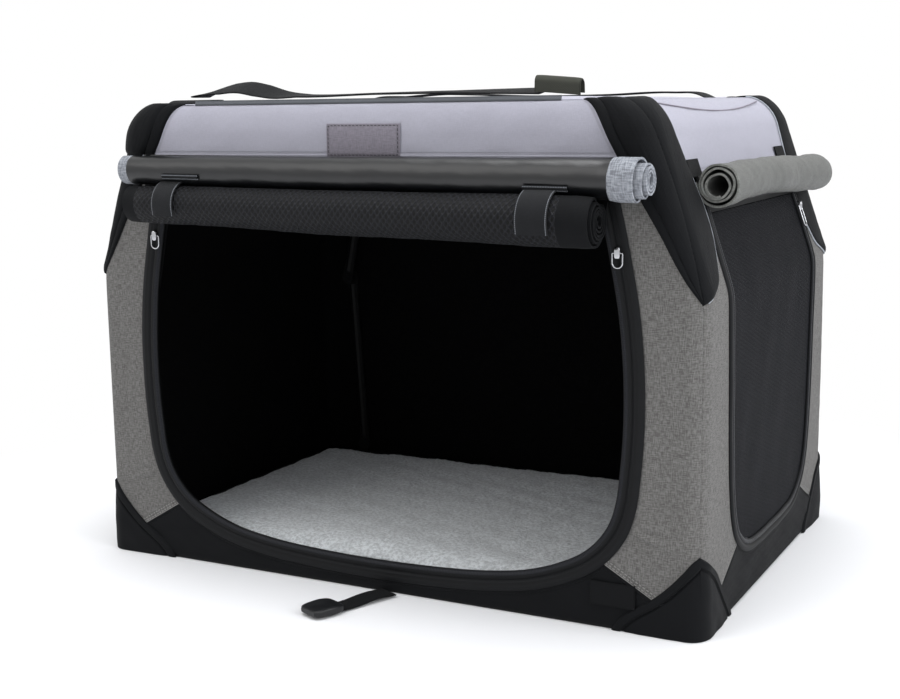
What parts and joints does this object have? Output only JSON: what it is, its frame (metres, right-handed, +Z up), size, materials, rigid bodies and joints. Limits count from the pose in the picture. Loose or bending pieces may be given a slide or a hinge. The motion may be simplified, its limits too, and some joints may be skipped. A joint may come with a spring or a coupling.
{
  "type": "soft folding dog crate",
  "caption": "Collapsible fabric pet crate on a folding tube frame, with rolled-up door panels, a mesh side door, padded corners, carry handles and a closure strap",
  "frame": {"origin": "centre of the underside of the floor panel, which rests on the ground", "axes": "+Z up, the open front doorway faces -Y, the end with the mesh side door faces +X"},
  "size_m": [0.7061, 0.6776, 0.5241],
  "materials": {
    "light_cloth": "plain weave, pale lavender grey",
    "heather_cloth": "coarse heather weave, warm grey",
    "black_cloth": "quilted and ribbed black cloth",
    "black_lining": "plain black lining",
    "shade_cloth": "dark grey heather weave",
    "coated_cloth": "coated black cloth, slightly shiny",
    "mesh_cloth": "open knitted mesh",
    "fleece": "napped fleece",
    "webbing": "woven webbing, mid grey",
    "black_webbing": "woven black webbing",
    "label_cloth": "plain woven patch",
    "black_steel": "black powder coat",
    "bright_metal": "bright plated wire",
    "black_plastic": "black moulded plastic"
  },
  "bodies": {
    "base": {"floor_panel": "black_cloth", "fleece_mat": "fleece", "front_lining": "black_lining", "right_lining": "black_lining", "back_lining": "black_lining", "left_lining": "black_lining", "skirt": "black_cloth", "front_zip_binding": "black_cloth", "side_zip_binding": "black_cloth", "back_shade_panel": "shade_cloth", "left_shade_panel": "shade_cloth", "front_light_panel": "light_cloth", "right_light_panel": "light_cloth", "back_light_panel": "light_cloth", "left_light_panel": "light_cloth", "corner_strip_front_left": "heather_cloth", "corner_strip_front_right": "heather_cloth", "corner_strip_back_left": "heather_cloth", "corner_strip_back_right": "heather_cloth", "corner_patch_front_left": "black_cloth", "corner_patch_front_right": "black_cloth", "corner_patch_back_left": "black_cloth", "corner_patch_back_right": "black_cloth", "boot_front_left": "black_cloth", "boot_front_right": "black_cloth", "boot_back_left": "black_cloth", "boot_back_right": "black_cloth", "label_patch": "label_cloth", "hook_patch": "black_webbing", "front_shade_roll": "coated_cloth", "front_mesh_roll": "mesh_cloth", "side_shade_roll": "shade_cloth", "base_ring": "black_steel"},
    "left_lower_legs": {"left_lower_leg_front": "black_steel", "left_lower_leg_back": "black_steel"},
    "left_upper_legs": {"left_upper_leg_front": "black_steel", "left_upper_leg_back": "black_steel"},
    "top_frame": {"top_ring": "black_steel", "roof_panel": "light_cloth"},
    "right_lower_legs": {"right_lower_leg_front": "black_steel", "right_lower_leg_back": "black_steel"},
    "right_upper_legs": {"right_upper_leg_front": "black_steel", "right_upper_leg_back": "black_steel"},
    "front_carry_handle": {"front_handle": "webbing"},
    "rear_carry_handle": {"rear_handle": "webbing"},
    "side_door": {"side_mesh_door": "mesh_cloth"},
    "left_roll_strap": {"roll_strap_left": "black_webbing"},
    "right_roll_strap": {"roll_strap_right": "black_webbing"},
    "front_left_zip": {"front_left_slider": "black_plastic"},
    "front_left_ring": {"front_left_pull": "bright_metal"},
    "front_right_zip": {"front_right_slider": "black_plastic"},
    "front_right_ring": {"front_right_pull": "bright_metal"},
    "side_zip": {"side_slider": "black_plastic"},
    "side_tab": {"side_pull": "bright_metal"},
    "front_closure": {"front_strap": "black_webbing", "front_buckle_socket": "black_plastic"},
    "rear_closure": {"rear_strap": "black_webbing", "rear_buckle_plug": "black_plastic"}
  },
  "joints": [
    {"name": "fold", "type": "hinge", "parent": "base", "child": "left_lower_legs", "pos_m": [-0.285, 0, 0.0278], "axis": [0, 1, 0], "range_deg": [0, 88.7]},
    {"name": "left_elbow", "type": "hinge", "parent": "left_lower_legs", "child": "left_upper_legs", "pos_m": [-0.29908, 0, 0.26306], "axis": [0, 1, 0], "range_deg": [-187.6, 0]},
    {"name": "top_frame_hinge", "type": "hinge", "parent": "left_upper_legs", "child": "top_frame", "pos_m": [-0.256, 0, 0.4652], "axis": [0, 1, 0], "range_deg": [0, 98.9]},
    {"name": "right_foot", "type": "hinge", "parent": "base", "child": "right_lower_legs", "pos_m": [0.285, 0, 0.0278], "axis": [0, 1, 0], "range_deg": [-88.8, 0]},
    {"name": "right_elbow", "type": "hinge", "parent": "right_lower_legs", "child": "right_upper_legs", "pos_m": [0.29908, 0, 0.26306], "axis": [0, 1, 0], "range_deg": [0, 187.6]},
    {"name": "front_handle_lift", "type": "hinge", "parent": "top_frame", "child": "front_carry_handle", "pos_m": [0, -0.19, 0.50287], "axis": [1, 0, 0], "range_deg": [0, 80]},
    {"name": "rear_handle_lift", "type": "hinge", "parent": "top_frame", "child": "rear_carry_handle", "pos_m": [0, 0.19, 0.50287], "axis": [-1, 0, 0], "range_deg": [0, 80]},
    {"name": "side_door_swing", "type": "hinge", "parent": "base", "child": "side_door", "pos_m": [0.32472, 0, 0.3934], "axis": [0, -1, 0], "range_deg": [0, 65]},
    {"name": "left_strap_open", "type": "hinge", "parent": "base", "child": "left_roll_strap", "pos_m": [-0.255, -0.27103, 0.40645], "axis": [-1, 0, 0], "range_deg": [0, 60]},
    {"name": "right_strap_open", "type": "hinge", "parent": "base", "child": "right_roll_strap", "pos_m": [0.177, -0.27103, 0.40645], "axis": [-1, 0, 0], "range_deg": [0, 60]},
    {"name": "front_left_zip_slide", "type": "slide", "parent": "base", "child": "front_left_zip", "axis": [-0.1644, 0, -0.9864], "range_m": [0, 0.055]},
    {"name": "front_left_ring_swing", "type": "hinge", "parent": "front_left_zip", "child": "front_left_ring", "pos_m": [-0.2655, -0.23883, 0.362], "axis": [-1, 0, 0], "range_deg": [0, 80]},
    {"name": "front_right_zip_slide", "type": "slide", "parent": "base", "child": "front_right_zip", "axis": [0.1644, 0, -0.9864], "range_m": [0, 0.055]},
    {"name": "front_right_ring_swing", "type": "hinge", "parent": "front_right_zip", "child": "front_right_ring", "pos_m": [0.2655, -0.23883, 0.362], "axis": [-1, 0, 0], "range_deg": [0, 80]},
    {"name": "side_zip_slide", "type": "slide", "parent": "base", "child": "side_zip", "axis": [0.3257, 0, -0.9455], "range_m": [0, 0.048]},
    {"name": "side_tab_swing", "type": "hinge", "parent": "side_zip", "child": "side_tab", "pos_m": [0.33365, 0.161, 0.37925], "axis": [0, -1, 0], "range_deg": [0, 80]},
    {"name": "front_closure_lift", "type": "hinge", "parent": "base", "child": "front_closure", "pos_m": [0.018, -0.2362, 0.002], "axis": [-1, 0, 0], "range_deg": [0, 75]},
    {"name": "rear_closure_lift", "type": "hinge", "parent": "base", "child": "rear_closure", "pos_m": [0, 0.2362, 0.002], "axis": [1, 0, 0], "range_deg": [0, 75]}
  ],
  "couplings": [
    {"joint": "left_elbow", "follows": "fold", "ratio": -2.114},
    {"joint": "top_frame_hinge", "follows": "fold", "ratio": 1.114},
    {"joint": "right_foot", "follows": "fold", "ratio": -1},
    {"joint": "right_elbow", "follows": "fold", "ratio": 2.114}
  ]
}
